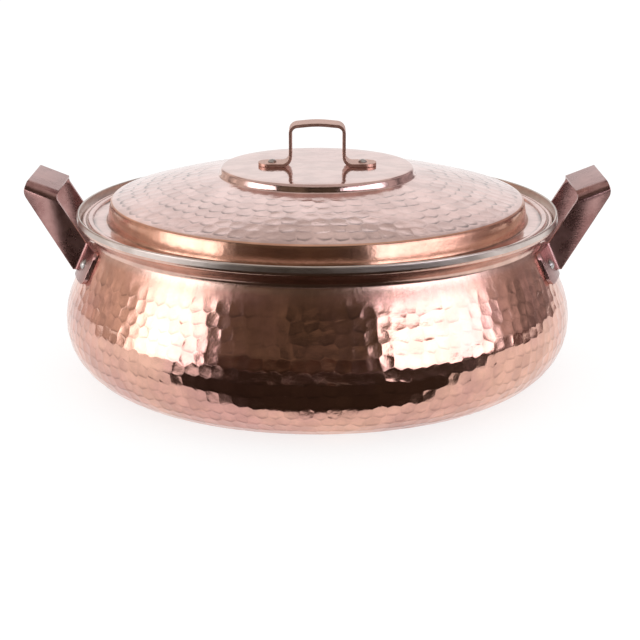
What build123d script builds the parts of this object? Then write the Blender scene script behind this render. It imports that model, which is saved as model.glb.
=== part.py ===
from build123d import *
from math import atan2, cos, degrees, hypot, radians, sin, tan
import os

# A round hammered copper cooking pot with a stepped lid.
# The base stands on Z = 0 with its centre at the origin, and the two side handles lie on +X and -X.

# Pot: one copper sheet raised to a bulging bowl with a pinched neck and a flared, upright lip
pan_depth = 105.0
pan_wall = 1.6
belly_radius = 158.9
belly_band = 1.0
heel_round = 37.0
shoulder_bend = 10.0
neck_inset = 19.2
neck_drop = 12.8
neck_round = 4.0
collar_flare = 10.3
lip_height = 5.3
lip_round = 3.0
lip_edge_round = 0.7

# Lid: one thinner sheet with a rolled edge, a pressed ridge, a flat flange, a wall, a cone and a disc
lid_wall = 1.0
roll_radius = 1.2
roll_clearance = 3.3
flange_sink = 0.3
ridge_width = 4.0
ridge_height = 2.2
ridge_inset = 3.65
flange_width = 14.3
crown_lean = 2.2
crown_height = 12.0
crown_foot_round = 1.0
crown_round = 1.8
cone_rise = 14.4
cone_swell = 2.6
disc_radius = 61.6
disc_height = 5.0
disc_lean = 1.7
disc_foot_round = 0.9
disc_round = 2.2

# Lid handle: a bent strap on the disc, with a rivet through each foot
lid_strap_width = 16.0
lid_strap_wall = 2.0
lid_grip_width = 35.3
lid_grip_height = 27.0
lid_grip_arch = 0.9
lid_foot_length = 19.1
lid_foot_round = 7.0
lid_bend_round = 5.5
lid_foot_bend = 4.5
lid_rivet_inset = 8.55
lid_rivet_head = 2.8
lid_rivet_rise = 1.7
lid_rivet_shank = 1.6

# Side handles: a folded strap whose legs lean outwards and whose feet lie along the pot's shoulder
strap_wall = 2.2
grip_length = 55.8
grip_width = 19.6
grip_tilt = 21.5
grip_reach = 8.8
grip_lift = 14.8
grip_bend = 6.0
leg_corner_drop = 8.0
grip_corner_round = 1.0
leg_corner_round = 7.5
leg_inner_drop = 3.4
leg_inner_round = 5.0
leg_foot_width = 17.0
leg_heel = 1.4
leg_toe = 2.4
foot_neck_gap = 4.0
foot_height = 20.0
foot_length = 27.5
foot_round = 4.5
fold_round = 2.0
fold_back_round = 1.6
handle_rivet_head = 3.2
handle_rivet_rise = 1.9
handle_rivet_shank = 1.9

# Clearances between pieces that are fastened together, and of the rivets in their holes
seat_gap = 0.1
rivet_fit = 0.1

# Length of the tools that cut bores and outlines
cutter = 60.0


def unit(start, end):
    """Direction from one profile point to the next."""
    length = hypot(end[0] - start[0], end[1] - start[1])
    return (end[0] - start[0]) / length, (end[1] - start[1]) / length


def parallel(points, distance):
    """Mitred parallel of a profile, to the left of its direction for a positive distance."""
    moved = []
    for i, (x, y) in enumerate(points):
        before = unit(points[max(i - 1, 0)], points[max(i, 1)])
        after = unit(points[min(i, len(points) - 2)], points[min(i + 1, len(points) - 1)])
        normal = (-before[1] - after[1], before[0] + after[0])
        scale = distance / (1.0 + before[0] * after[0] + before[1] * after[1])
        moved.append((x + normal[0] * scale, y + normal[1] * scale))
    return moved


def parallel_rounds(points, rounds, distance):
    """Corner radii of the parallel profile, so that its arcs share centres with the first one's."""
    moved = []
    for i, radius in enumerate(rounds):
        before = unit(points[i], points[i + 1])
        after = unit(points[i + 1], points[i + 2])
        left_turn = before[0] * after[1] - before[1] * after[0] > 0.0
        moved.append(radius - distance if left_turn else radius + distance)
    return moved


def sheet_section(points, rounds, distance):
    """Closed section of a bent sheet: the profile, its parallel and a straight edge at each end."""
    inner = parallel(points, distance)
    face_line = FilletPolyline(*points, radius=rounds)
    back_line = FilletPolyline(*inner, radius=parallel_rounds(points, rounds, distance))
    return make_face([face_line, back_line, Line(points[0], inner[0]), Line(points[-1], inner[-1])])


def turned(section):
    """Solid of revolution about the vertical axis of a section drawn as (radius, height)."""
    return revolve(Plane.XZ * section, Axis.Z)


# Profile of the pot's outside, from the centre of the base to the top of the lip
neck_radius = belly_radius - neck_inset
rim_radius = neck_radius + collar_flare
neck_height = pan_depth - neck_drop
shoulder_height = heel_round + belly_band + shoulder_bend
shoulder_lean = degrees(atan2(neck_inset, neck_height - shoulder_height))
shoulder_round = shoulder_bend / tan(radians(shoulder_lean) / 2.0)
pan_profile = [
    (0.0, 0.0),
    (belly_radius, 0.0),
    (belly_radius, shoulder_height),
    (neck_radius, neck_height),
    (rim_radius, pan_depth - lip_height),
    (rim_radius, pan_depth),
]
pan_rounds = [heel_round, shoulder_round, neck_round, lip_round]


def shoulder_radius(height, offset=0.0):
    """Radius of the pot's straight shoulder at a height, moved outwards by an offset square to it."""
    slope = tan(radians(shoulder_lean))
    return neck_radius + (neck_height - height) * slope + offset / cos(radians(shoulder_lean))


# Seat of the lid: its rolled edge rests on the inside of the flared collar
flare_rise = neck_drop - lip_height
flare_angle = atan2(flare_rise, collar_flare)
roll_centre_radius = rim_radius - roll_clearance - roll_radius
flare_height = neck_height + (roll_centre_radius - neck_radius) * tan(flare_angle)
roll_height = flare_height + (pan_wall + roll_radius + seat_gap) / cos(flare_angle)
flange_height = roll_height - flange_sink
crown_radius = roll_centre_radius - flange_width
ridge_radius = roll_centre_radius - ridge_inset
ridge_round = 0.4 * ridge_width
ridge_foot_round = 0.8 * (ridge_height - ridge_round)
crown_top = flange_height + crown_height
disc_foot = crown_top + cone_rise
disc_top = disc_foot + disc_height
cone_start = crown_radius - crown_lean
cone_middle = ((cone_start + disc_radius) / 2.0, (crown_top + disc_foot) / 2.0 + cone_swell)
cone_turn = atan2(2.0 * cone_swell, (cone_start - disc_radius) / 2.0)
cone_round = 0.85 * (cone_start - disc_radius) / 2.0 / tan(cone_turn / 2.0)
lid_profile = [
    (0.0, disc_top),
    (disc_radius - disc_lean, disc_top),
    (disc_radius, disc_foot),
    cone_middle,
    (cone_start, crown_top),
    (crown_radius, flange_height),
    (ridge_radius - ridge_width / 2.0, flange_height),
    (ridge_radius - ridge_width / 2.0, flange_height + ridge_height),
    (ridge_radius + ridge_width / 2.0, flange_height + ridge_height),
    (ridge_radius + ridge_width / 2.0, flange_height),
    (roll_centre_radius, flange_height),
]
lid_rounds = [disc_round, disc_foot_round, cone_round, crown_round, crown_foot_round]
lid_rounds += [ridge_foot_round, ridge_round, ridge_round, ridge_foot_round]


def rivet(head_radius, head_rise, shank_radius, grip):
    """Rivet with a domed head on each side: its head sits on Z = 0 and its shank points down."""
    dome = (head_radius ** 2 + head_rise ** 2) / (2.0 * head_rise)
    section = make_face([
        Line((0.0, -grip - head_rise), (0.0, head_rise)),
        RadiusArc((0.0, head_rise), (head_radius, 0.0), dome),
        Polyline((head_radius, 0.0), (shank_radius, 0.0), (shank_radius, -grip), (head_radius, -grip)),
        RadiusArc((head_radius, -grip), (0.0, -grip - head_rise), dome),
    ])
    return turned(section)


# Places of the side handle's rivets, on the +X handle: one in the middle of each foot
grip_half = grip_length / 2.0
foot_top = neck_height - foot_neck_gap
foot_middle_height = foot_top - foot_height / 2.0
foot_middle_y = grip_half + foot_length / 2.0
handle_rivet_grip = pan_wall + strap_wall + 3.0 * seat_gap


def foot_plane(side, end):
    """Plane on the outer face of a foot, at its rivet, looking away from the pot."""
    radius = shoulder_radius(foot_middle_height, 2.0 * seat_gap + strap_wall)
    x = (radius ** 2 - foot_middle_y ** 2) ** 0.5
    lean = radians(shoulder_lean)
    outwards = (side * x / radius * cos(lean), end * foot_middle_y / radius * cos(lean), sin(lean))
    return Plane(origin=(side * x, end * foot_middle_y, foot_middle_height), z_dir=outwards)


def handle_rivet_holes():
    """Bores for the side handles' rivets, through the feet and the pot's wall."""
    bore = Cylinder(handle_rivet_shank + rivet_fit, cutter / 2.0)
    return [foot_plane(side, end) * bore for side in (1, -1) for end in (1, -1)]


def pan_body():
    """The pot: base, bulging side, neck, flared collar and upright lip, from one sheet."""
    body = turned(sheet_section(pan_profile, pan_rounds, pan_wall))
    lip_edges = body.edges().filter_by(GeomType.CIRCLE).group_by(Axis.Z)[-1]
    body = fillet(lip_edges, min(lip_edge_round, 0.45 * pan_wall))
    return body - handle_rivet_holes()


def pan_outside(offset):
    """Solid that fills the pot out to its outer face, grown by an offset square to that face."""
    outer = parallel(pan_profile, -offset)
    rounds = parallel_rounds(pan_profile, pan_rounds, -offset)
    line = FilletPolyline(*outer, radius=rounds)
    top = (0.0, outer[-1][1])
    return turned(make_face([line, Line(outer[-1], top), Line(top, outer[0])]))


# Half the length of the lid's strap over its feet, and the length that its rivets hold
lid_strap_half = lid_grip_width / 2.0 + lid_foot_length
lid_rivet_grip = lid_wall + lid_strap_wall + 3.0 * seat_gap


def lid_rivet_planes():
    """Planes on the lid handle's feet, at its two rivets."""
    height = disc_top + lid_strap_wall + 2.0 * seat_gap
    reach = lid_strap_half - lid_rivet_inset
    return [Plane(origin=(side * reach, 0.0, height)) for side in (-1, 1)]


def lid_rivet_holes():
    """Bores for the lid handle's rivets, through its feet and the disc."""
    bore = Cylinder(lid_rivet_shank + rivet_fit, cutter / 2.0)
    return [plane * bore for plane in lid_rivet_planes()]


def lid_shell():
    """The lid: disc, cone, wall, flange, pressed ridge and rolled edge, from one sheet."""
    sheet = turned(sheet_section(lid_profile, lid_rounds, -lid_wall))
    roll = Pos(0.0, 0.0, roll_height) * Torus(roll_centre_radius, roll_radius)
    return sheet + roll - lid_rivet_holes()


def lid_handle():
    """The lid's bent strap: two feet with round ends, two legs and a slightly arched grip."""
    foot_face = disc_top + seat_gap + lid_strap_wall
    shoulder = disc_top + lid_grip_height - lid_grip_arch
    half = lid_grip_width / 2.0
    path = [
        (-lid_strap_half, foot_face),
        (-half, foot_face),
        (-half, shoulder),
        (0.0, shoulder + 2.0 * lid_grip_arch),
        (half, shoulder),
        (half, foot_face),
        (lid_strap_half, foot_face),
    ]
    arch_turn = 2.0 * atan2(2.0 * lid_grip_arch, half)
    arch_round = 0.6 * (half - lid_bend_round) / tan(arch_turn / 2.0)
    rounds = [lid_foot_bend, lid_bend_round, arch_round, lid_bend_round, lid_foot_bend]
    section = Plane.XZ * sheet_section(path, rounds, -lid_strap_wall)
    strap = extrude(section, lid_strap_width / 2.0, both=True)
    ends = strap.edges().filter_by(Axis.Z).group_by(lambda edge: abs(edge.center().X))[-1]
    strap = fillet(ends, lid_foot_round)
    return strap - lid_rivet_holes()


# Outline of the side handle's leg in the XZ plane, on the +X handle
grip_along = (cos(radians(grip_tilt)), sin(radians(grip_tilt)))
grip_inner = (rim_radius + grip_reach, pan_depth + grip_lift)
grip_outer = (grip_inner[0] + grip_width * grip_along[0], grip_inner[1] + grip_width * grip_along[1])


def below_grip(point, drop):
    """Point of a leg's edge that lies straight below the grip's edge, square to the grip."""
    return (point[0] + drop * grip_along[1], point[1] - drop * grip_along[0])


def foot_face_x(height):
    """X of the feet's outer face at a height, where it meets a leg's outer face."""
    radius = shoulder_radius(height, seat_gap + strap_wall)
    return (radius ** 2 - grip_half ** 2) ** 0.5


def leg_outline():
    """Face of the leg's side view: grip edge, corners below it, leaning sides, and root inside the pot."""
    leg_bottom = foot_top - leg_foot_width
    foot_inner = (foot_face_x(foot_top) + leg_heel, foot_top)
    foot_outer = (foot_face_x(leg_bottom) + leg_toe, leg_bottom)
    deep = neck_radius - cutter / 2.0
    front = FilletPolyline(grip_inner, grip_outer, below_grip(grip_outer, leg_corner_drop), foot_outer,
                           radius=[grip_corner_round, leg_corner_round])
    root = Polyline(foot_outer, (deep, leg_bottom), (deep, foot_top), foot_inner)
    back = FilletPolyline(foot_inner, below_grip(grip_inner, leg_inner_drop), grip_inner,
                          radius=[leg_inner_round])
    return make_face([front, root, back])


def folded_channel():
    """Grip and legs as one bent strap, wider than needed along the grip's width."""
    plane = Plane(origin=(grip_inner[0], 0.0, grip_inner[1]), x_dir=(0.0, 1.0, 0.0),
                  z_dir=(grip_along[0], 0.0, grip_along[1]))
    depth = pan_depth + cutter
    path = [(grip_half, -depth), (grip_half, 0.0), (-grip_half, 0.0), (-grip_half, -depth)]
    return extrude(plane * sheet_section(path, [grip_bend, grip_bend], strap_wall), depth, both=True)


def handle_feet():
    """The two feet: pieces of a shell over the pot's shoulder, with rounded far corners."""
    shell = pan_outside(seat_gap + strap_wall) - pan_outside(seat_gap)
    outline = fillet(Rectangle(grip_length + 2.0 * foot_length, foot_height).vertices(), foot_round)
    outline = outline - Rectangle(grip_length - 2.0 * strap_wall, 2.0 * foot_height)
    place = Plane.YZ.offset(neck_radius / 2.0) * Pos(0.0, foot_middle_height)
    return shell & extrude(place * outline, belly_radius)


def fold_lines(handle, distance, offset):
    """Curved edges of the feet at a distance from the middle and an offset from the pot."""
    chosen = []
    for edge in handle.edges():
        middle = edge.center()
        curved = edge.geom_type not in (GeomType.LINE, GeomType.CIRCLE)
        beside = abs(abs(middle.Y) - distance) < seat_gap
        height_off = hypot(middle.X, middle.Y) - shoulder_radius(middle.Z, offset)
        if curved and beside and abs(height_off) < strap_wall / 2.0:
            chosen.append(edge)
    return chosen


def side_handle(side):
    """A folded strap handle: grip, two leaning legs and two feet that lie along the pot's shoulder."""
    legs = folded_channel() & extrude(Plane.XZ * leg_outline(), grip_length, both=True)
    legs = legs - pan_outside(seat_gap)
    top = Plane.XY.offset(foot_top)
    root = split(legs, bisect_by=top, keep=Keep.BOTTOM) + handle_feet()
    root = fillet(fold_lines(root, grip_half, seat_gap + strap_wall), fold_round)
    root = fillet(fold_lines(root, grip_half - strap_wall, seat_gap), fold_back_round)
    handle = root + split(legs, bisect_by=top, keep=Keep.TOP) - handle_rivet_holes()
    return handle if side > 0 else mirror(handle, Plane.YZ)


def save(name, shape):
    """Write one piece and print its size."""
    shape.label = name
    export_step(shape, os.path.join("parts", name + ".step"))
    box = shape.bounding_box()
    print(name, len(shape.solids()), "solid", round(shape.volume / 1000.0, 2), "cm3", box.size)


os.makedirs("parts", exist_ok=True)
save("pan_body", pan_body())
save("lid_shell", lid_shell())
save("lid_handle", lid_handle())
for name, plane in zip(("left", "right"), lid_rivet_planes()):
    save("lid_rivet_" + name, plane * rivet(lid_rivet_head, lid_rivet_rise, lid_rivet_shank,
                                         lid_rivet_grip))
for name, side in (("right", 1), ("left", -1)):
    save(name + "_handle", side_handle(side))
    for place, end in (("front", -1), ("rear", 1)):
        pin = rivet(handle_rivet_head, handle_rivet_rise, handle_rivet_shank, handle_rivet_grip)
        save(name + "_handle_" + place + "_rivet", foot_plane(side, end) * pin)
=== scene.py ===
from collections import namedtuple
from math import asin, atan2, ceil, cos, exp, hypot, pi, radians, sin, tan

import bmesh
import bpy
import numpy as np
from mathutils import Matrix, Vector
from mathutils.geometry import delaunay_2d_cdt


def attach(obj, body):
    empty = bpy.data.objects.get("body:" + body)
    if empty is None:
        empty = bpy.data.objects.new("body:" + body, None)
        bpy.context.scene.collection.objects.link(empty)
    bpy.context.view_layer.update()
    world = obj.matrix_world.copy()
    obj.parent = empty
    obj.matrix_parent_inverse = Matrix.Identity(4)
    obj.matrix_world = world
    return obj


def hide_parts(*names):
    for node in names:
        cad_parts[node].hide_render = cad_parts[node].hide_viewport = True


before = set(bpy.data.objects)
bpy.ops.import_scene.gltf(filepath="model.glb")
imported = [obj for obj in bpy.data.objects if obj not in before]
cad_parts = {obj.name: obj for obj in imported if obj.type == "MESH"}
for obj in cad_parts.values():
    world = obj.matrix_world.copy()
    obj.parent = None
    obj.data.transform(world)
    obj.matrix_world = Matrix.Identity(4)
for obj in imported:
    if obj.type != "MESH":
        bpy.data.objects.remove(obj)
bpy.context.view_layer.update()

random = np.random.default_rng(7)

# Lengths below are in millimetres, and every mesh is written in metres
MM = 0.001

# Pot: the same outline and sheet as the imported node
pan_depth = 105.0
pan_wall = 1.6
belly_radius = 158.9
heel_round = 37.0
belly_band = 1.0
shoulder_bend = 10.0
neck_radius = 139.7
neck_height = 92.2
neck_round = 4.0
rim_radius = 150.0
lip_foot = 99.7
lip_round = 3.0
lip_edge_round = 0.7

# Lid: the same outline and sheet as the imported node
lid_wall = 1.0
roll_radius = 1.2
roll_centre_radius = 145.5
roll_height = 100.01
flange_height = 99.71
ridge_inner = 139.85
ridge_outer = 143.85
ridge_top = 101.91
crown_radius = 131.2
cone_radius = 129.0
cone_height = 111.71
disc_radius = 61.6
disc_foot = 126.11
disc_top = 131.11
disc_lean = 1.7
cone_swell = 2.6

# Hammer marks: their spacing round and along the outline, their radius, how hollow they are at their edge,
# how many rows beyond the last one the plain surface counts as a row, and which side of a dish gets the most
# painted shade in its crease
Pattern = namedtuple("Pattern", "pitch row radius hollow border stained")
pan_pattern = Pattern(pitch=8.2, row=7.3, radius=4.6, hollow=0.115, border=1.45, stained=-1.0)
lid_pattern = Pattern(pitch=9.6, row=9.0, radius=4.8, hollow=0.115, border=1.3, stained=1.0)
mark_scatter = 0.10
mark_tilt = 0.006

# Length of the pot's hammered band along its outline, and the plain rows left free below and above it
pan_hammered = 87.3
pan_rows_below = 1.6
pan_rows_above = 1.35

# How much shorter the lid's hammered band is than the cone's flat part, at the disc and at the wall
lid_band_inset = (2.2, 1.8)

# Height of the pot's grey lip, how far the painted shade of a crease reaches, and the middle that linings
# leave open
grey_lip = 3.2
crease_reach = 1.3
lining_middle = 6.0

# Segments round the plain stretches
outside_segments = 420
inside_segments = 210

# Colour of the flared collar, and the width of the straps' worn edges
collar_tone = (0.80, 0.52, 0.43)
strap_edge = 0.5

# Camera, fitted to the photographed view, in metres and degrees
camera_place = (0.0, -1.005, 0.3312)
camera_tilt = 16.68
camera_lens = 91.85
camera_sensor = 36.0
camera_shift = 0.0042

# Studio: the world's light, the floor's grey and glow, and the heights of the curtains' middle and the cards
ambient = 0.9
floor_grey = 0.33
floor_glow = 0.77
curtain_middle = 0.06
card_height = 0.0012


# Outlines

def direction(start, end):
    length = hypot(end[0] - start[0], end[1] - start[1])
    return (end[0] - start[0]) / length, (end[1] - start[1]) / length


def rounded(points, rounds, step=0.3):
    """Points of an outline whose inner corners are arcs of the given radii."""
    path = [points[0]]
    for before, corner, after, radius in zip(points, points[1:], points[2:], rounds):
        a = direction(before, corner)
        b = direction(corner, after)
        turn = atan2(a[0] * b[1] - a[1] * b[0], a[0] * b[0] + a[1] * b[1])
        side = 1.0 if turn > 0.0 else -1.0
        reach = radius * tan(abs(turn) / 2.0)
        start = (corner[0] - a[0] * reach, corner[1] - a[1] * reach)
        centre = (start[0] - a[1] * radius * side, start[1] + a[0] * radius * side)
        count = max(3, ceil(radius * abs(turn) / step))
        for i in range(count + 1):
            angle = turn * i / count
            x = start[0] - centre[0]
            y = start[1] - centre[1]
            path.append((centre[0] + x * cos(angle) - y * sin(angle),
                         centre[1] + x * sin(angle) + y * cos(angle)))
    path.append(points[-1])
    return np.array(path)


class Outline:
    """A sampled outline: position, outward normal and bend at a distance along it."""

    def __init__(self, path, outward):
        lengths = np.hypot(*np.diff(path, axis=0).T)
        keep = np.r_[True, lengths > 1e-6]
        self.path = path[keep]
        self.run = np.r_[0.0, np.cumsum(lengths[keep[1:]])]
        way = np.gradient(self.path, self.run, axis=0)
        way /= np.hypot(way[:, 0], way[:, 1])[:, None]
        self.normals = outward * np.c_[way[:, 1], -way[:, 0]]
        turning = np.gradient(np.unwrap(np.arctan2(way[:, 1], way[:, 0])), self.run)
        self.bends = outward * turning
        step = np.diff(self.run) / np.maximum((self.path[1:, 0] + self.path[:-1, 0]) / 2.0, 1e-3)
        self.conformal = np.r_[0.0, np.cumsum(step)]

    def at(self, distance, rise=0.0):
        """Radius and height at a distance along the outline, raised square to it."""
        r = np.interp(distance, self.run, self.path[:, 0])
        z = np.interp(distance, self.run, self.path[:, 1])
        nr = np.interp(distance, self.run, self.normals[:, 0])
        nz = np.interp(distance, self.run, self.normals[:, 1])
        return r + nr * rise, z + nz * rise

    def bend(self, distance):
        """How sharply the outline turns there, per millimetre."""
        return float(np.interp(distance, self.run, self.bends))

    def stretch(self, distance):
        """Logarithm of the radius that the place has on a flat map of the same angles."""
        return float(np.interp(distance, self.run, self.conformal))

    def between(self, start, end, spacing, closest=None):
        """Ring distances from start to end: the outline's own corners, and no gap over the spacing."""
        closest = closest or 0.5 * spacing
        own = self.run[(self.run > start) & (self.run < end)]
        rings = [start]
        for target in np.r_[own, end]:
            gap = target - rings[-1]
            if gap >= closest or target == end:
                pieces = max(1, ceil(gap / spacing))
                rings += list(rings[-1] + gap * np.arange(1, pieces + 1) / pieces)
        return rings

    def nearest(self, radius, height):
        """Distance along the outline of its sampled point nearest to a place."""
        return float(self.run[np.argmin(np.hypot(self.path[:, 0] - radius, self.path[:, 1] - height))])


# Sheets of revolution

class Sheet:
    """Vertices and faces of a turned sheet, gathered ring by ring."""

    def __init__(self):
        self.points = []
        self.faces = []
        self.tags = []
        # Each point also keeps a value of painted shade along creases and ridges, stored as a mesh attribute
        self.crease_shades = []
        self.tones = []

    def point(self, radius, angle, height, crease_shade=0.0, tone=0.5):
        self.points.append((radius * cos(angle) * MM, radius * sin(angle) * MM, height * MM))
        self.crease_shades.append(crease_shade)
        self.tones.append(tone)
        return len(self.points) - 1

    def ring(self, radius, height, count, crease_shade=0.0):
        return [self.point(radius, 2.0 * pi * i / count, height, crease_shade) for i in range(count)]

    def face(self, corners, tag):
        self.faces.append(corners)
        self.tags.append(tag)

    def strip(self, lower, upper, tag):
        count = len(lower)
        for i in range(count):
            j = (i + 1) % count
            self.face((lower[i], lower[j], upper[j], upper[i]), tag)

    def close(self, ring, height, tag):
        centre = self.point(0.0, 0.0, height)
        for i in range(len(ring)):
            self.face((ring[i], ring[(i + 1) % len(ring)], centre), tag)

    def rings(self, start_ring, places, tag):
        """Rings through the given (radius, height) places, joined to a ring that is there already."""
        last = start_ring
        for radius, height, *crease_shade in places:
            ring = self.ring(radius, height, len(last), *crease_shade)
            self.strip(last, ring, tag)
            last = ring
        return last

    def angle(self, index):
        x, y, _ = self.points[index]
        return atan2(y, x)

    def unwrapped(self, indices):
        angles = np.unwrap([self.angle(i) for i in indices])
        return list(angles) + [angles[0] + 2.0 * pi]

    def bridge(self, loop, ring, tag):
        """Triangles between an uneven loop and an even ring, both turning the same way."""
        first = int(np.argmin([abs(self.angle(i)) for i in loop]))
        loop = loop[first:] + loop[:first]
        loop_angles = self.unwrapped(loop)
        ring_angles = self.unwrapped(ring)
        i = 0
        j = 0
        while i < len(loop) or j < len(ring):
            a = loop[i % len(loop)]
            b = ring[j % len(ring)]
            step_loop = loop_angles[i + 1] if i < len(loop) else 1e9
            step_ring = ring_angles[j + 1] if j < len(ring) else 1e9
            if step_loop < step_ring:
                self.face((a, loop[(i + 1) % len(loop)], b), tag)
                i += 1
            else:
                self.face((a, ring[(j + 1) % len(ring)], b), tag)
                j += 1

    def build(self, name, materials):
        mesh = bpy.data.meshes.new(name)
        mesh.from_pydata(self.points, [], self.faces)
        for material in materials:
            mesh.materials.append(material)
        mesh.polygons.foreach_set("material_index", self.tags)
        for name_of, values in (("crease_shade", self.crease_shades), ("tone", self.tones)):
            mesh.attributes.new(name_of, "FLOAT", "POINT").data.foreach_set("value", values)
        work = bmesh.new()
        work.from_mesh(mesh)
        bmesh.ops.recalc_face_normals(work, faces=work.faces)
        work.to_mesh(mesh)
        work.free()
        mesh.shade_smooth()
        piece = bpy.data.objects.new(name, mesh)
        bpy.context.scene.collection.objects.link(piece)
        return piece


# Hammer marks

class Mark:
    """One blow of the hammer: its place, its strength and the corners of its cell."""

    def __init__(self, angle, run, real, strength):
        self.angle = angle
        self.run = run
        self.real = real
        self.strength = strength
        self.tilt = random.normal(size=2) * mark_tilt
        self.tone = random.random()
        self.corners = []


def wrapped(angle):
    return (angle + pi) % (2.0 * pi) - pi


def circumcentre(corners):
    """Point at one distance from three points of the plane."""
    (ax, ay), (bx, by), (cx, cy) = corners
    bx, by, cx, cy = bx - ax, by - ay, cx - ax, cy - ay
    d = 2.0 * (bx * cy - by * cx)
    b2 = bx * bx + by * by
    c2 = cx * cx + cy * cy
    return ax + (cy * b2 - by * c2) / d, ay + (bx * c2 - cx * b2) / d


def blows(outline, start, end, pattern):
    """Rows of marks, scattered a little, with two plain rows beyond each end to close their cells."""
    steps = round((end - start) / pattern.row)
    height = (end - start) / steps
    plain = (pattern.border, pattern.border + 1.1)
    rows = [(start - height * share, False) for share in plain]
    rows += [(start + height * i, True) for i in range(steps + 1)]
    rows += [(end + height * share, False) for share in plain]
    marks = []
    for run, real in rows:
        count = round(2.0 * pi * outline.at(run)[0] / pattern.pitch)
        shift = random.random()
        for i in range(count):
            spread = random.normal(size=2) * mark_scatter * real
            angle = 2.0 * pi * (i + shift + spread[1]) / count
            marks.append(Mark(angle, run + spread[0] * height, real, random.uniform(0.8, 1.3)))
    return marks


def triangles(outline, marks):
    """Neighbouring marks, three by three, from a map of the outline that keeps its angles."""
    flat = []
    for mark in marks:
        radius = exp(outline.stretch(mark.run))
        flat.append(Vector((radius * cos(mark.angle), radius * sin(mark.angle))))
    result = delaunay_2d_cdt(flat, [], [], 0, 1e-9)
    source = [origins[0] for origins in result[3]]
    return [[source[i] for i in face] for face in result[2]]


class Corner:
    """A place where three cells meet, and the middle of the three marks round it."""

    def __init__(self, outline, trio):
        self.run_middle = sum(mark.run for mark in trio) / 3.0
        radius = outline.at(self.run_middle)[0]
        base = trio[0].angle
        flat = [(radius * wrapped(mark.angle - base), mark.run) for mark in trio]
        x, y = circumcentre(flat)
        middle = sum(place[0] for place in flat) / 3.0
        self.angle_middle = base + middle / radius
        self.angle = base + (0.75 * x + 0.25 * middle) / radius
        self.run = 0.75 * y + 0.25 * self.run_middle


class Cell:
    """The dish of one mark: how deep its surface lies at a place beside its centre."""

    flattening = 0.85

    def __init__(self, outline, mark, pattern, corners):
        self.mark = mark
        self.stained = pattern.stained
        self.radius = outline.at(mark.run)[0]
        normal = float(np.interp(mark.run, outline.run, outline.normals[:, 0]))
        hollow = pattern.hollow / pattern.radius ** 2
        self.across = hollow + 0.5 * self.flattening * max(0.0, normal / self.radius)
        self.along = hollow + 0.5 * self.flattening * max(0.0, outline.bend(mark.run))
        self.depth = mark.strength * (self.across + self.along) / 2.0 * pattern.radius ** 2

        def bearing(index):
            x, y = self.local(corners[index].angle_middle, corners[index].run_middle)
            return atan2(y, x)

        self.ring = sorted(mark.corners, key=bearing)

    def local(self, angle, run):
        return self.radius * wrapped(angle - self.mark.angle), run - self.mark.run

    def rise(self, x, y):
        dish = self.across * x * x + self.along * y * y - self.depth
        return min(0.0, dish + self.mark.tilt[0] * x + self.mark.tilt[1] * y)

    def stain(self, x, y):
        """How dark the painted shade in the crease is: most on the side that the pattern shades."""
        return 0.15 + 0.85 * max(0.0, self.stained * y / hypot(x, y)) ** 1.5

    def crease(self, x, y):
        """Share of the way to a place at which the dish meets the plain surface."""
        return (self.depth / (self.across * x * x + self.along * y * y)) ** 0.5


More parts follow.
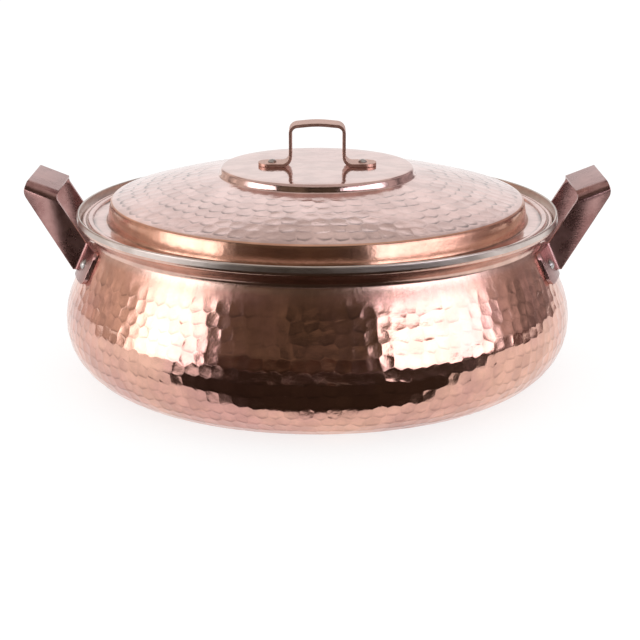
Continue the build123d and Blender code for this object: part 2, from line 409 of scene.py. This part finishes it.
class Band:
    """A band of hammered cells, with shared vertices along their borders."""

    def __init__(self, sheet, outline, start, end, pattern, tag):
        self.sheet = sheet
        self.outline = outline
        marks = blows(outline, start, end, pattern)
        self.corners = []
        for face in triangles(outline, marks):
            trio = [marks[i] for i in face]
            if any(mark.real for mark in trio):
                for mark in trio:
                    mark.corners.append(len(self.corners))
                self.corners.append(Corner(outline, trio))
        self.cells = [Cell(outline, mark, pattern, self.corners) for mark in marks if mark.real]
        self.owners = {}
        for cell in self.cells:
            for a, b in self.sides(cell):
                self.owners.setdefault(a, []).append(cell)
                self.owners.setdefault(frozenset((a, b)), []).append(cell)
        self.place_border()
        for cell in self.cells:
            self.fill(cell, tag)

    def sides(self, cell):
        return list(zip(cell.ring, cell.ring[1:] + cell.ring[:1]))

    def border_point(self, angle, run, owners, whole):
        rise = 0.0
        if len(owners) == whole:
            rise = sum(cell.rise(*cell.local(angle, run)) for cell in owners) / whole
        radius, height = self.outline.at(run, rise)
        tone = sum(cell.mark.tone for cell in owners) / len(owners)
        # Ridge points where all their cells meet get a little painted shade
        return self.sheet.point(radius, angle, height, 0.2 if len(owners) == whole else 0.0, tone)

    def place_border(self):
        """A vertex at each corner, and two along each side, at the mean depth of the cells that meet."""
        self.vertex = {}
        for key, owners in self.owners.items():
            if isinstance(key, frozenset):
                a, b = [self.corners[i] for i in sorted(key)]
                turn = wrapped(b.angle - a.angle)
                self.vertex[key] = [self.border_point(a.angle + turn * share, a.run + (b.run - a.run) * share,
                                                      owners, 2) for share in (1.0 / 3.0, 2.0 / 3.0)]
            else:
                corner = self.corners[key]
                self.vertex[key] = self.border_point(corner.angle, corner.run, owners, 3)

    def side(self, a, b):
        """Vertices from corner a up to corner b, without b."""
        along = self.vertex[frozenset((a, b))]
        return [self.vertex[a]] + (along if a < b else along[::-1])

    def fill(self, cell, tag):
        """Rings and a centre inside a cell: the first ring is the crease of the dish, or near its border."""
        outer = [index for a, b in self.sides(cell) for index in self.side(a, b)]
        places = []
        for index in outer:
            x, y, _ = self.sheet.points[index]
            places.append(cell.radius * wrapped(atan2(y, x) - cell.mark.angle))
        runs = []
        for a, b in self.sides(cell):
            first, last = (self.corners[a].run, self.corners[b].run)
            runs += [first + (last - first) * share - cell.mark.run for share in (0.0, 1.0 / 3.0, 2.0 / 3.0)]
        reach = [min(0.9, cell.crease(x, y)) for x, y in zip(places, runs)]
        tone = cell.mark.tone
        for depth, share in ((1.0, 1.0), (0.5, 0.0)):
            inner = []
            for x, y, limit in zip(places, runs, reach):
                x, y = x * limit * depth, y * limit * depth
                radius, height = self.outline.at(cell.mark.run + y, cell.rise(x, y))
                # The crease ring gets painted shade, darkest on one side of the dish; the inner ring gets
                # none
                crease_shade = share * cell.stain(x, y)
                inner.append(self.sheet.point(radius, cell.mark.angle + x / cell.radius, height, crease_shade, tone))
            self.sheet.strip(outer, inner, tag)
            outer = inner
        radius, height = self.outline.at(cell.mark.run, cell.rise(0.0, 0.0))
        centre = self.sheet.point(radius, cell.mark.angle, height, 0.0, tone)
        for i, index in enumerate(outer):
            self.sheet.face((index, outer[(i + 1) % len(outer)], centre), tag)

    def ends(self):
        """The band's open ends, first the one at its start, as loops of vertices in the turning sense."""
        beside = {}
        for key, owners in self.owners.items():
            if isinstance(key, frozenset) and len(owners) == 1:
                a, b = key
                beside.setdefault(a, []).append(b)
                beside.setdefault(b, []).append(a)
        ends = []
        while beside:
            first = min(beside)
            loop = [first]
            corner = beside.pop(first)[0]
            while corner != first:
                following = [other for other in beside.pop(corner) if other != loop[-1]]
                loop.append(corner)
                corner = following[0]
            pairs = list(zip(loop, loop[1:] + loop[:1]))
            turn = sum(wrapped(self.corners[b].angle - self.corners[a].angle) for a, b in pairs)
            if turn < 0.0:
                pairs = [(b, a) for a, b in reversed(pairs)]
            mean = sum(self.corners[corner].run for corner in loop) / len(loop)
            if abs(turn) > pi:
                ends.append((mean, [index for a, b in pairs for index in self.side(a, b)]))
        ends.sort()
        return ends[0][1], ends[-1][1]


# Node materials

class Shader:
    """A node material: small helpers that add a node and give its output."""

    def __init__(self, name):
        self.material = bpy.data.materials.new(name)
        self.material.use_nodes = True
        self.tree = self.material.node_tree
        self.surface = self.tree.nodes["Principled BSDF"]
        self.place = self.add("ShaderNodeTexCoord").outputs["Object"]

    def add(self, kind, **values):
        node = self.tree.nodes.new(kind)
        for name, value in values.items():
            setattr(node, name, value)
        return node

    def link(self, source, target):
        self.tree.links.new(source, target)

    def put(self, node, name, value):
        if isinstance(value, bpy.types.NodeSocket):
            self.link(value, node.inputs[name])
        else:
            node.inputs[name].default_value = value

    def math(self, operation, a, b=0.0):
        node = self.add("ShaderNodeMath", operation=operation)
        self.put(node, 0, a)
        self.put(node, 1, b)
        return node.outputs[0]

    def scaled(self, vector, factors):
        node = self.add("ShaderNodeVectorMath", operation="MULTIPLY")
        self.link(vector, node.inputs[0])
        node.inputs[1].default_value = factors
        return node.outputs[0]

    def noise(self, vector, scale, detail=3.0, roughness=0.55, distortion=0.0):
        node = self.add("ShaderNodeTexNoise")
        self.link(vector, node.inputs["Vector"])
        node.inputs["Scale"].default_value = scale
        node.inputs["Detail"].default_value = detail
        node.inputs["Roughness"].default_value = roughness
        node.inputs["Distortion"].default_value = distortion
        return node.outputs["Fac"]

    def fit(self, value, low, high, to_low=0.0, to_high=1.0):
        node = self.add("ShaderNodeMapRange", interpolation_type="SMOOTHSTEP")
        self.put(node, "Value", value)
        node.inputs["From Min"].default_value = low
        node.inputs["From Max"].default_value = high
        node.inputs["To Min"].default_value = to_low
        node.inputs["To Max"].default_value = to_high
        return node.outputs["Result"]

    def blend(self, factor, first, second):
        node = self.add("ShaderNodeMix", data_type="RGBA")
        self.put(node, 0, factor)
        self.put(node, 6, first if isinstance(first, bpy.types.NodeSocket) else (*first, 1.0))
        self.put(node, 7, second if isinstance(second, bpy.types.NodeSocket) else (*second, 1.0))
        return node.outputs[2]

    def bump(self, height, distance, strength=1.0, normal=None):
        node = self.add("ShaderNodeBump")
        node.inputs["Strength"].default_value = strength
        node.inputs["Distance"].default_value = distance
        self.link(height, node.inputs["Height"])
        if normal is not None:
            self.link(normal, node.inputs["Normal"])
        return node.outputs["Normal"]

    def height(self):
        """The Z of the shaded point, in metres."""
        node = self.add("ShaderNodeSeparateXYZ")
        self.link(self.place, node.inputs[0])
        return node.outputs["Z"]

    def attribute(self, name):
        """A value that the mesh holds at its points."""
        return self.add("ShaderNodeAttribute", attribute_name=name).outputs["Fac"]

    def shaded(self, colour, amount):
        """A colour times a value."""
        node = self.add("ShaderNodeVectorMath", operation="SCALE")
        self.put(node, 0, colour)
        self.put(node, "Scale", amount)
        return node.outputs[0]

    def edges(self, width):
        """Normal of a surface whose edges are rounded over, for a width in millimetres."""
        node = self.add("ShaderNodeBevel", samples=6)
        node.inputs["Radius"].default_value = width * MM
        return node.outputs[0]

    def round_place(self, across, along):
        """A place on an unrolled pot: angle times across, and height times along."""
        split = self.add("ShaderNodeSeparateXYZ")
        self.link(self.place, split.inputs[0])
        turned = self.math("ARCTAN2", split.outputs["Y"], split.outputs["X"])
        node = self.add("ShaderNodeCombineXYZ")
        self.link(self.math("MULTIPLY", turned, across), node.inputs["X"])
        self.link(self.math("MULTIPLY", split.outputs["Z"], along), node.inputs["Y"])
        return node.outputs[0]

    def finish(self, colour, roughness, normal=None):
        self.surface.inputs["Metallic"].default_value = 1.0
        self.put(self.surface, "Base Color", colour)
        self.put(self.surface, "Roughness", roughness)
        if normal is not None:
            self.link(normal, self.surface.inputs["Normal"])
        return self.material


def copper(name, light, dark, polish, rim_shade=0.3, brushed=None):
    """Hammered copper: cloudy tone, painted shade in the creases and, over a height, upright brush marks."""
    shader = Shader(name)
    cloud = shader.noise(shader.place, 14.0, 5.0, 0.62)
    colour = shader.blend(shader.fit(cloud, 0.36, 0.64), dark, light)
    stain = shader.noise(shader.place, 75.0, 4.0, 0.6)
    tone = shader.fit(shader.attribute("tone"), 0.0, 1.0, -0.05, 0.05)
    shade = shader.math("ADD", shader.fit(stain, 0.38, 0.62, 0.86, 1.0), tone)
    # Painted shade along the creases and ridges, from the mesh attribute, made patchy
    crease_shade = shader.fit(shader.attribute("crease_shade"), 0.0, 1.0, 0.0, rim_shade)
    patchy = shader.fit(shader.noise(shader.place, 40.0, 3.0), 0.35, 0.6, 0.25, 1.3)
    shade = shader.math("SUBTRACT", shade, shader.math("MULTIPLY", crease_shade, patchy))
    fine = shader.noise(shader.place, 900.0, 2.0)
    rough = shader.math("ADD", shader.fit(cloud, 0.35, 0.65, polish + 0.05, polish),
                        shader.math("MULTIPLY", fine, 0.03))
    normal = shader.bump(shader.noise(shader.place, 160.0, 3.0), 0.00012)
    if brushed is not None:
        high = shader.fit(shader.height(), brushed - 0.005, brushed + 0.003)
        lines = shader.noise(shader.round_place(150.0, 9.0), 6.0, 6.0, 0.75)
        normal = shader.bump(shader.math("MULTIPLY", lines, high), 0.00004, 1.0, normal)
        rough = shader.math("ADD", rough, shader.math("MULTIPLY", high, 0.07))
        streaks = shader.math("MULTIPLY", high, shader.fit(lines, 0.35, 0.65, 0.16, 0.0))
        shade = shader.math("MULTIPLY", shade, shader.math("SUBTRACT", 1.0, streaks))
        collar = shader.fit(shader.height(), brushed + 0.003, brushed + 0.007)
        colour = shader.blend(collar, colour, collar_tone)
    return shader.finish(shader.shaded(colour, shade), rough, normal)


def tin(name, light=(0.72, 0.63, 0.58), dark=(0.52, 0.44, 0.40)):
    """Wiped tin: pale grey with soft smears."""
    shader = Shader(name)
    smear = shader.noise(shader.scaled(shader.place, (22.0, 22.0, 90.0)), 1.0, 5.0, 0.6, 0.8)
    colour = shader.blend(shader.fit(smear, 0.35, 0.65), dark, light)
    rough = shader.math("ADD", shader.math("MULTIPLY", smear, 0.2), 0.24)
    return shader.finish(colour, rough, shader.bump(smear, 0.0002))


def strap_copper(name, light, dark, bare, polish):
    """Copper strap, browned by handling, with fine scratches and bare metal along its worn edges."""
    shader = Shader(name)
    cloud = shader.noise(shader.place, 60.0, 5.0, 0.65)
    colour = shader.blend(shader.fit(cloud, 0.3, 0.7), dark, light)
    scratches = shader.noise(shader.scaled(shader.place, (300.0, 40.0, 900.0)), 1.0, 4.0, 0.7)
    nicks = shader.noise(shader.scaled(shader.place, (260.0, 260.0, 60.0)), 1.0, 6.0, 0.8, 1.5)
    colour = shader.blend(shader.fit(nicks, 0.60, 0.70, 0.0, 0.5), colour, bare)
    edges = shader.edges(strap_edge)
    facing = shader.add("ShaderNodeVectorMath", operation="DOT_PRODUCT")
    shader.link(edges, facing.inputs[0])
    shader.link(shader.add("ShaderNodeNewGeometry").outputs["Normal"], facing.inputs[1])
    rounded_off = shader.fit(facing.outputs["Value"], 0.93, 0.80)
    worn = shader.math("MULTIPLY", rounded_off, shader.fit(shader.noise(shader.place, 90.0, 3.0), 0.3, 0.6))
    colour = shader.blend(worn, colour, bare)
    rough = shader.math("ADD", shader.math("MULTIPLY", cloud, 0.2), polish - 0.1)
    normal = shader.bump(scratches, 0.0001, 1.0, edges)
    return shader.finish(colour, rough, normal)


# Pieces

def creased(places, spots, reach):
    """The same places, each with how much painted shade it gets from the nearest of some creases."""
    result = []
    for radius, height in places:
        gap = min(hypot(radius - x, height - z) for x, z in spots)
        result.append((radius, height, max(0.0, 1.0 - gap / reach)))
    return result


def lining(sheet, outline, ring, end, spacing, wall, height, tag):
    """The inner side of a sheet, from the ring at its edge back to its middle at the given height."""
    runs = outline.between(0.0, end, spacing)[::-1]
    places = [outline.at(run, -wall) for run in runs if run > lining_middle]
    narrower = sheet.ring(*places[0], inside_segments)
    sheet.bridge(ring, narrower, tag)
    sheet.close(sheet.rings(narrower, places[1:], tag), height, tag)


def pan_outline():
    """Outside of the pot, from the middle of its base to the top of its lip."""
    shoulder = heel_round + belly_band + shoulder_bend
    lean = atan2(belly_radius - neck_radius, neck_height - shoulder)
    points = [(0.0, 0.0), (belly_radius, 0.0), (belly_radius, shoulder), (neck_radius, neck_height),
              (rim_radius, lip_foot), (rim_radius, pan_depth)]
    rounds = [heel_round, shoulder_bend / tan(lean / 2.0), neck_round, lip_round]
    return Outline(rounded(points, rounds), 1.0)


def lip_edge():
    """Places over the rounded top of the pot's lip."""
    half = pan_wall / 2.0
    turns = [pi * i / 8.0 for i in range(1, 8)]
    return [(rim_radius - half + half * cos(turn), pan_depth - lip_edge_round + lip_edge_round * sin(turn))
            for turn in turns]


def hammered_pan(outside, inside):
    outline = pan_outline()
    first = outline.nearest(135.3, 2.5)
    last = first + pan_hammered
    sheet = Sheet()
    band = Band(sheet, outline, first, last, pan_pattern, 0)
    bottom, top = band.ends()
    base = sheet.ring(*outline.at(first - pan_rows_below * pan_pattern.row), inside_segments)
    sheet.bridge(bottom, base, 0)
    inner = sheet.rings(base, [(r, 0.0) for r in (100.0, 70.0, 35.0, 8.0)], 0)
    sheet.close(inner, 0.0, 0)
    start = last + pan_rows_above * pan_pattern.row
    end = outline.run[-1] - lip_edge_round
    neck = sheet.ring(*outline.at(start), outside_segments)
    sheet.bridge(top, neck, 0)
    grey = outline.nearest(rim_radius, pan_depth - grey_lip)
    places = [outline.at(run) for run in outline.between(start, grey, 2.0, 0.5)[1:]]
    ring = sheet.rings(neck, places, 0)
    places = [outline.at(run) for run in outline.between(grey, end, 1.0)[1:]]
    ring = sheet.rings(ring, places + lip_edge(), 1)
    lining(sheet, outline, ring, end, 7.0, pan_wall, pan_wall, 1)
    piece = sheet.build("hammered_pan", [outside, inside])
    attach(piece, "pan")
    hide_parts("pan_body")
    return piece


def lid_outline():
    """Top of the lid, from its middle to the rolled edge."""
    middle = ((cone_radius + disc_radius) / 2.0, (cone_height + disc_foot) / 2.0 + cone_swell)
    half = (cone_radius - disc_radius) / 2.0
    cone_round = 0.85 * half / tan(atan2(2.0 * cone_swell, half) / 2.0)
    points = [(0.0, disc_top), (disc_radius - disc_lean, disc_top), (disc_radius, disc_foot), middle,
              (cone_radius, cone_height), (crown_radius, flange_height), (ridge_inner, flange_height),
              (ridge_inner, ridge_top), (ridge_outer, ridge_top), (ridge_outer, flange_height),
              (roll_centre_radius - roll_radius, flange_height)]
    rounds = [2.2, 0.9, cone_round, 1.8, 1.0, 0.48, 1.6, 1.6, 0.48]
    return Outline(rounded(points, rounds), -1.0)


def rolled_edge():
    """Places round the lid's rolled edge, from the flange over the top to the lowest point."""
    joined = asin((flange_height - roll_height) / roll_radius)
    turns = [pi - joined - (1.5 * pi - joined) * i / 16.0 for i in range(1, 17)]
    return [(roll_centre_radius + roll_radius * cos(turn), roll_height + roll_radius * sin(turn))
            for turn in turns]


def hammered_lid(top_copper, cone_copper, under_copper, wall_copper):
    outline = lid_outline()
    sheet = Sheet()
    first = outline.nearest(68.8, 125.8) + lid_band_inset[0]
    last = outline.nearest(121.6, 113.9) - lid_band_inset[1]
    inner, outer = Band(sheet, outline, first, last, lid_pattern, 1).ends()
    start = outline.nearest(62.6, 126.3)
    disc = sheet.ring(*outline.at(start), outside_segments)
    sheet.bridge(inner, disc, 1)
    edge = outline.nearest(disc_radius - disc_lean - 2.5, disc_top)
    places = [outline.at(run) for run in outline.between(edge, start, 1.5, 0.3)[-2::-1]]
    places += [outline.at(run) for run in outline.between(8.0, edge, 8.0)[-2::-1]]
    ring = sheet.rings(disc, places, 0)
    sheet.close(ring, disc_top, 0)
    start = outline.nearest(127.9, 112.1)
    edge = sheet.ring(*outline.at(start), outside_segments)
    sheet.bridge(outer, edge, 1)
    foot = outline.nearest(crown_radius + 0.8, flange_height)
    places = [outline.at(run) for run in outline.between(start, foot, 2.0, 0.4)[1:]]
    # Painted shade at the wall's foot, under the cone's edge and at both feet of the ridge
    spots = [(crown_radius, flange_height), (cone_radius - 0.2, cone_height - 1.3),
             (ridge_inner, flange_height), (ridge_outer, flange_height)]
    edge = sheet.rings(edge, creased(places, spots, crease_reach), 3)
    places = [outline.at(run) for run in outline.between(foot, outline.run[-1], 2.5, 0.4)[1:]]
    ring = sheet.rings(edge, creased(places, spots, crease_reach) + rolled_edge(), 0)
    lining(sheet, outline, ring, outline.run[-1], 6.0, lid_wall, disc_top - lid_wall, 2)
    piece = sheet.build("hammered_lid", [top_copper, cone_copper, under_copper, wall_copper])
    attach(piece, "lid")
    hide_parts("lid_shell")
    return piece


def smoothed(node, body, material):
    """A bent strap in its packed place, with its bends shaded smoothly and its edges left crisp."""
    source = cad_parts[node]
    mesh = source.data.copy()
    work = bmesh.new()
    work.from_mesh(mesh)
    bmesh.ops.remove_doubles(work, verts=work.verts, dist=1e-6)
    work.to_mesh(mesh)
    work.free()
    mesh.shade_smooth()
    mesh.set_sharp_from_angle(angle=radians(38.0))
    mesh.materials.clear()
    mesh.materials.append(material)
    piece = bpy.data.objects.new("smooth_" + node, mesh)
    piece.matrix_world = source.matrix_world.copy()
    bpy.context.scene.collection.objects.link(piece)
    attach(piece, body)
    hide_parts(node)


def paint(node, material):
    """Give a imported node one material."""
    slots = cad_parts[node].data.materials
    slots.clear()
    slots.append(material)


# Studio

def place_camera():
    camera = bpy.data.objects.new("camera", bpy.data.cameras.new("camera"))
    camera.location = camera_place
    camera.rotation_euler = (radians(90.0 - camera_tilt), 0.0, 0.0)
    camera.data.lens = camera_lens
    camera.data.sensor_width = camera_sensor
    camera.data.shift_x = camera_shift
    bpy.context.scene.collection.objects.link(camera)
    bpy.context.scene.camera = camera


def seen_rays(tree):
    """1 for rays from the camera and for rays that a glossy or clear surface sends on."""
    path = tree.nodes.new("ShaderNodeLightPath")
    total = path.outputs["Is Camera Ray"]
    for name in ("Is Glossy Ray", "Is Transmission Ray"):
        node = tree.nodes.new("ShaderNodeMath")
        node.operation = "MAXIMUM"
        tree.links.new(total, node.inputs[0])
        tree.links.new(path.outputs[name], node.inputs[1])
        total = node.outputs[0]
    return total


def place_world():
    """White wherever it is seen, and a plain level of light on everything else."""
    world = bpy.data.worlds.new("studio")
    world.use_nodes = True
    tree = world.node_tree
    background = tree.nodes["Background"]
    background.inputs["Color"].default_value = (1.0, 1.0, 1.0, 1.0)
    level = tree.nodes.new("ShaderNodeMapRange")
    tree.links.new(seen_rays(tree), level.inputs["Value"])
    level.inputs["To Min"].default_value = ambient
    level.inputs["To Max"].default_value = 1.0
    tree.links.new(level.outputs["Result"], background.inputs["Strength"])
    bpy.context.scene.world = world


def level_math(tree, operation, a, b):
    """A math node on sockets or plain values."""
    node = tree.nodes.new("ShaderNodeMath")
    node.operation = operation
    for socket, value in zip(node.inputs, (a, b)):
        if isinstance(value, bpy.types.NodeSocket):
            tree.links.new(value, socket)
        else:
            socket.default_value = value
    return node.outputs[0]


def patchy_level(tree, level, uneven):
    """A brightness that wanders round a level by a share of it."""
    patches = tree.nodes.new("ShaderNodeTexNoise")
    patches.inputs["Scale"].default_value = 2.2
    patches.inputs["Detail"].default_value = 3.0
    tree.links.new(tree.nodes.new("ShaderNodeTexCoord").outputs["Object"], patches.inputs["Vector"])
    amount = tree.nodes.new("ShaderNodeMapRange")
    tree.links.new(patches.outputs["Fac"], amount.inputs["Value"])
    amount.inputs["From Min"].default_value = 0.35
    amount.inputs["From Max"].default_value = 0.65
    amount.inputs["To Min"].default_value = level * (1.0 - uneven)
    amount.inputs["To Max"].default_value = level * (1.0 + uneven)
    return amount.outputs["Result"]


def soft_cover(tree, soft):
    """1 inside and 0 at the edges, over shares of the width and height: left, right, low and high."""
    places = tree.nodes.new("ShaderNodeSeparateXYZ")
    tree.links.new(tree.nodes.new("ShaderNodeTexCoord").outputs["UV"], places.inputs[0])
    left, right, low, high = soft
    cover = 1.0
    for axis, near, far in (("X", left, right), ("Y", low, high)):
        for width, place in ((near, places.outputs[axis]),
                             (far, level_math(tree, "SUBTRACT", 1.0, places.outputs[axis]))):
            if width > 0.0:
                edge = tree.nodes.new("ShaderNodeMapRange")
                edge.interpolation_type = "SMOOTHSTEP"
                tree.links.new(place, edge.inputs["Value"])
                edge.inputs["From Max"].default_value = width
                cover = level_math(tree, "MULTIPLY", cover, edge.outputs["Result"])
    return cover


def glow_material(name, colour, level, soft, uneven=0.0):
    """An emission, patchy where it is uneven, whose edges fade out over shares of the width and height."""
    material = bpy.data.materials.new(name)
    material.use_nodes = True
    tree = material.node_tree
    tree.nodes.remove(tree.nodes["Principled BSDF"])
    glow = tree.nodes.new("ShaderNodeEmission")
    glow.inputs["Color"].default_value = (*colour, 1.0)
    glow.inputs["Strength"].default_value = level
    if uneven > 0.0:
        tree.links.new(patchy_level(tree, level, uneven), glow.inputs["Strength"])
    cover = soft_cover(tree, soft)
    mix = tree.nodes.new("ShaderNodeMixShader")
    if isinstance(cover, bpy.types.NodeSocket):
        tree.links.new(cover, mix.inputs[0])
    else:
        mix.inputs[0].default_value = cover
    tree.links.new(tree.nodes.new("ShaderNodeBsdfTransparent").outputs[0], mix.inputs[1])
    tree.links.new(glow.outputs[0], mix.inputs[2])
    tree.links.new(mix.outputs[0], tree.nodes["Material Output"].inputs["Surface"])
    return material


def stage_reflection(name, points, faces, uvs, material):
    """A studio surface that only shows in reflections."""
    mesh = bpy.data.meshes.new(name)
    mesh.from_pydata(points, [], faces)
    layer = mesh.uv_layers.new(name="UVMap")
    for loop in mesh.loops:
        layer.data[loop.index].uv = uvs[loop.vertex_index]
    mesh.materials.append(material)
    piece = bpy.data.objects.new(name, mesh)
    bpy.context.scene.collection.objects.link(piece)
    piece.visible_camera = False
    piece.visible_diffuse = False
    piece.visible_shadow = False
    piece.visible_transmission = False


def curtain(name, azimuths, elevations, distance, colour, level=1.0, soft=(0.0, 0.0, 0.0, 0.0), uneven=0.0):
    """A piece of a sphere round the pot, between two azimuths from the front and two elevations.

    Its soft edges, left, right, low and high, are widths in degrees.
    """
    columns = 24
    rows = 10
    points = []
    uvs = []
    for i in range(rows + 1):
        for j in range(columns + 1):
            azimuth = radians(azimuths[0] + (azimuths[1] - azimuths[0]) * j / columns)
            elevation = radians(elevations[0] + (elevations[1] - elevations[0]) * i / rows)
            flat = distance * cos(elevation)
            up = curtain_middle + distance * sin(elevation)
            points.append((flat * sin(azimuth), -flat * cos(azimuth), up))
            uvs.append((j / columns, i / rows))
    faces = []
    for i in range(rows):
        for j in range(columns):
            a = i * (columns + 1) + j
            faces.append((a, a + 1, a + columns + 2, a + columns + 1))
    width = azimuths[1] - azimuths[0]
    height = elevations[1] - elevations[0]
    shares = (soft[0] / width, soft[1] / width, soft[2] / height, soft[3] / height)
    stage_reflection(name, points, faces, uvs, glow_material(name, colour, level, shares, uneven))


def floor_card(name, outline, colour):
    """A flat sheet just over the floor that only shows in reflections."""
    points = [(x, y, card_height) for x, y in outline]
    uvs = [(0.5, 0.5)] * len(points)
    stage_reflection(name, points, [tuple(range(len(points)))], uvs,
                     glow_material(name, colour, 1.0, (0.0, 0.0, 0.0, 0.0)))


def place_floor():
    size = 6.0
    mesh = bpy.data.meshes.new("floor")
    mesh.from_pydata([(-size, -size, 0.0), (size, -size, 0.0), (size, size, 0.0), (-size, size, 0.0)],
                     [], [(0, 1, 2, 3)])
    floor = bpy.data.objects.new("floor", mesh)
    floor.location.z = -0.0002
    material = bpy.data.materials.new("floor")
    material.use_nodes = True
    tree = material.node_tree
    surface = tree.nodes["Principled BSDF"]
    surface.inputs["Base Color"].default_value = (floor_grey, floor_grey, floor_grey, 1.0)
    surface.inputs["Roughness"].default_value = 0.9
    surface.inputs["Specular IOR Level"].default_value = 0.0
    surface.inputs["Emission Color"].default_value = (1.0, 1.0, 1.0, 1.0)
    tree.links.new(level_math(tree, "MULTIPLY", seen_rays(tree), floor_glow),
                   surface.inputs["Emission Strength"])
    mesh.materials.append(material)
    bpy.context.scene.collection.objects.link(floor)


def place_studio():
    place_world()
    place_floor()
    curtain("left_softbox", (-96.0, -49.0), (-3.0, 30.0), 1.9, (1.0, 0.985, 1.02), 3.0,
            (16.0, 3.0, 2.0, 5.0))
    curtain("right_softbox", (28.0, 91.0), (-1.0, 30.0), 1.9, (1.0, 0.99, 1.10), 2.8,
            (3.0, 16.0, 2.0, 5.0))
    curtain("front_wall", (-56.0, 36.0), (-4.0, 42.0), 2.3, (0.11, 0.085, 0.06), uneven=0.55)
    curtain("front_skirting", (-56.0, 36.0), (-4.0, 16.0), 2.2, (0.055, 0.032, 0.02), 1.0,
            (0.0, 0.0, 0.0, 9.0), 0.5)
    curtain("right_skirting", (44.0, 112.0), (-4.0, 3.5), 1.8, (0.16, 0.10, 0.09), 1.0,
            (24.0, 10.0, 0.0, 1.0), 0.5)
    curtain("left_wall", (-165.0, -56.0), (-4.0, 42.0), 2.3, (0.62, 0.52, 0.46), 1.0,
            (20.0, 0.0, 0.0, 0.0), 0.5)
    curtain("right_wall", (36.0, 165.0), (-4.0, 42.0), 2.3, (0.40, 0.33, 0.33), 1.0,
            (0.0, 20.0, 0.0, 0.0), 0.5)
    curtain("ceiling", (-180.0, 180.0), (42.0, 90.0), 2.3, (0.62, 0.58, 0.55), uneven=0.2)
    # The dark card comes in close to the pot's foot, so the lowest band reflects dark: partly a dark floor in
    # front, partly painted shade for the floor in the pot's shadow
    near_edge = [(-0.24, -0.17), (-0.08, -0.166), (0.09, -0.162), (0.14, -0.175), (0.24, -0.20)]
    far_edge = [(0.62, -0.17), (1.6, 0.1), (1.6, -1.6), (-1.2, -1.6)]
    floor_card("front_floor", near_edge + far_edge, (0.035, 0.025, 0.018))


scene = bpy.context.scene
scene.view_settings.view_transform = "Standard"
place_camera()
place_studio()

pan_copper = copper("pan_copper", (0.80, 0.46, 0.35), (0.68, 0.37, 0.32), 0.10, 0.22, brushed=0.082)
tinned = tin("tinned")
lid_polished = copper("lid_polished", (0.78, 0.56, 0.51), (0.73, 0.50, 0.46), 0.06, 0.7)
lid_pale = copper("lid_pale", (0.86, 0.63, 0.59), (0.79, 0.56, 0.52), 0.10, 0.45)
lid_wall_copper = copper("lid_wall_copper", (0.82, 0.47, 0.34), (0.72, 0.38, 0.27), 0.17, 0.6)
rivet_metal = tin("rivet_metal", (0.50, 0.47, 0.45), (0.34, 0.31, 0.30))
lid_strap = strap_copper("satin_copper", (0.70, 0.44, 0.36), (0.56, 0.34, 0.27), (0.80, 0.54, 0.46), 0.42)
side_strap = strap_copper("dark_copper", (0.48, 0.28, 0.26), (0.30, 0.15, 0.14), (0.76, 0.47, 0.43), 0.28)

hammered_pan(pan_copper, tinned)
hammered_lid(lid_polished, lid_pale, tinned, lid_wall_copper)
smoothed("lid_handle", "lid", lid_strap)
for side in ("left", "right"):
    smoothed(side + "_handle", "pan", side_strap)
    paint("lid_rivet_" + side, rivet_metal)
    for end in ("front", "rear"):
        paint(side + "_handle_" + end + "_rivet", rivet_metal)
